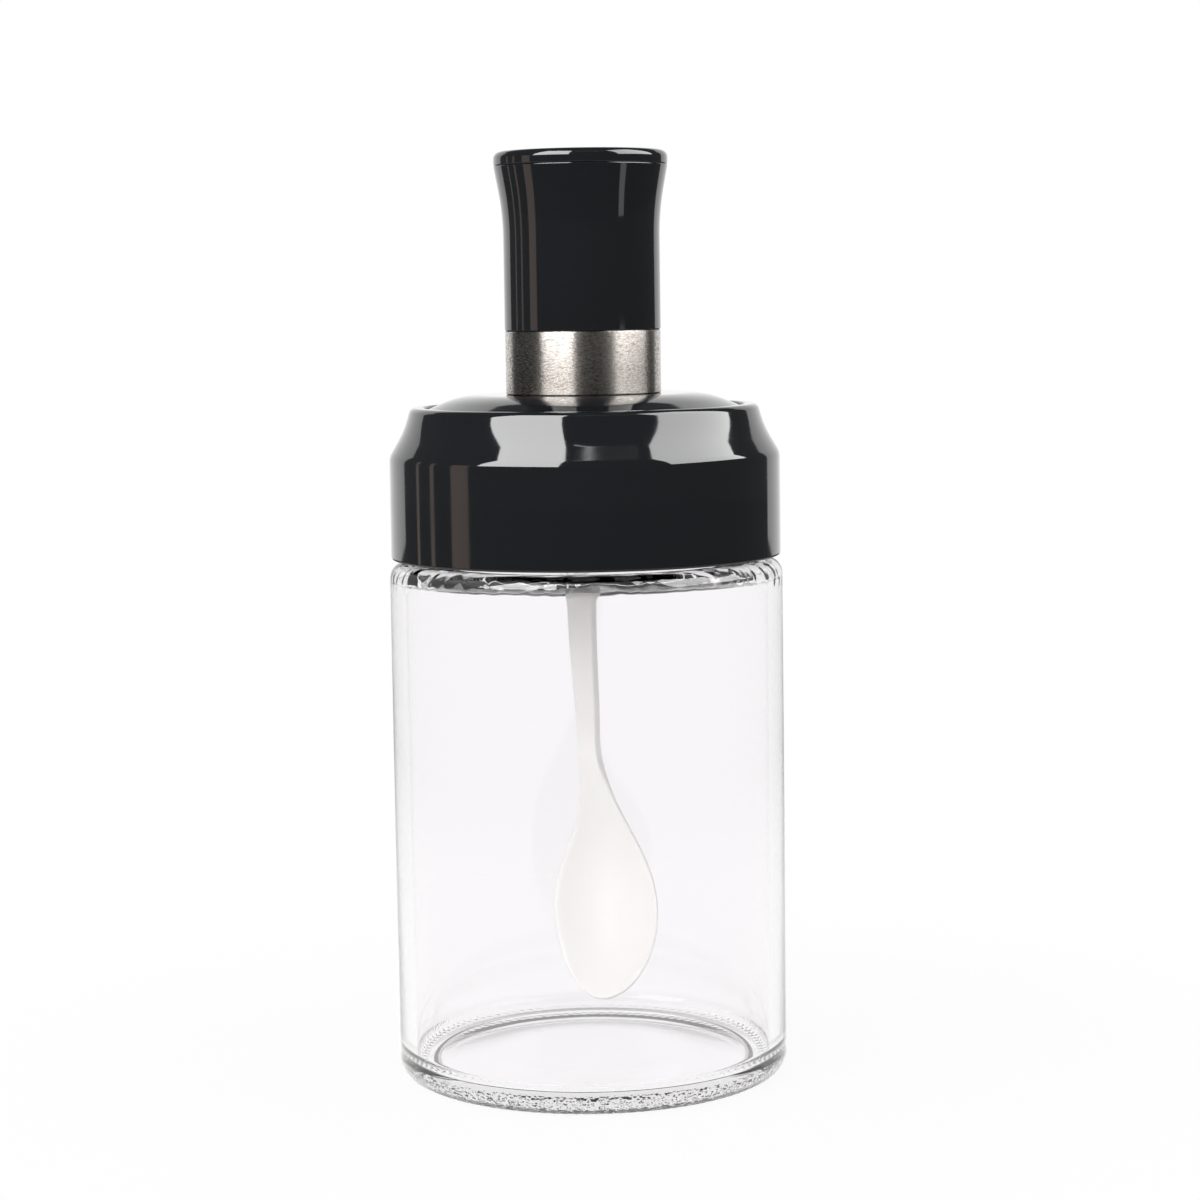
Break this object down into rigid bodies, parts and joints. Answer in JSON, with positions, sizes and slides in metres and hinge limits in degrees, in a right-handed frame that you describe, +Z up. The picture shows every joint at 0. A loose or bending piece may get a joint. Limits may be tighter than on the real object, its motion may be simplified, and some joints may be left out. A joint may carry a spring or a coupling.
{
  "type": "spice jar",
  "caption": "Round clear glass jar with a black screw lid and a lift-out stopper that carries a flared knob, a steel sleeve and a white spoon.",
  "frame": {"origin": "centre of the jar's base, on the surface that it stands on", "axes": "+Z up along the jar's axis, -Y towards the viewer of the picture, +X to the right"},
  "size_m": [0.07, 0.07, 0.1649],
  "materials": {
    "clear_glass": "polished",
    "black_plastic": "gloss",
    "satin_steel": "satin",
    "white_plastic": "satin",
    "spoon_plastic": "satin",
    "black_liner": "satin",
    "silicone": "matte",
    "screw_steel": "satin"
  },
  "bodies": {
    "jar": {"glass_jar": "clear_glass"},
    "gasket": {"mouth_gasket": "silicone"},
    "lid": {"thread_liner": "black_liner", "lid_shell": "black_plastic", "lid_crown": "black_plastic"},
    "seal": {"stopper_seal": "silicone"},
    "stopper": {"stopper_plug": "white_plastic", "steel_sleeve": "satin_steel", "knob_grip": "black_plastic", "knob_cap": "black_plastic", "clamp_screw": "screw_steel", "spoon": "spoon_plastic"}
  },
  "joints": [
    {"name": "lid_rise", "type": "slide", "parent": "jar", "child": "gasket", "axis": [0, 0, 1], "range_m": [0, 0.00563]},
    {"name": "lid_turn", "type": "hinge", "parent": "gasket", "child": "lid", "pos_m": [0, 0, 0.1], "axis": [0, 0, 1], "range_deg": [0, 450]},
    {"name": "stopper_lift", "type": "slide", "parent": "lid", "child": "seal", "axis": [0, 0, 1], "range_m": [0, 0.112]},
    {"name": "stopper_turn", "type": "hinge", "parent": "seal", "child": "stopper", "pos_m": [0, 0, 0.12], "axis": [0, 0, 1], "continuous": true}
  ],
  "couplings": [
    {"joint": "lid_rise", "follows": "lid_turn", "m_per_rad": 0.0007162}
  ]
}
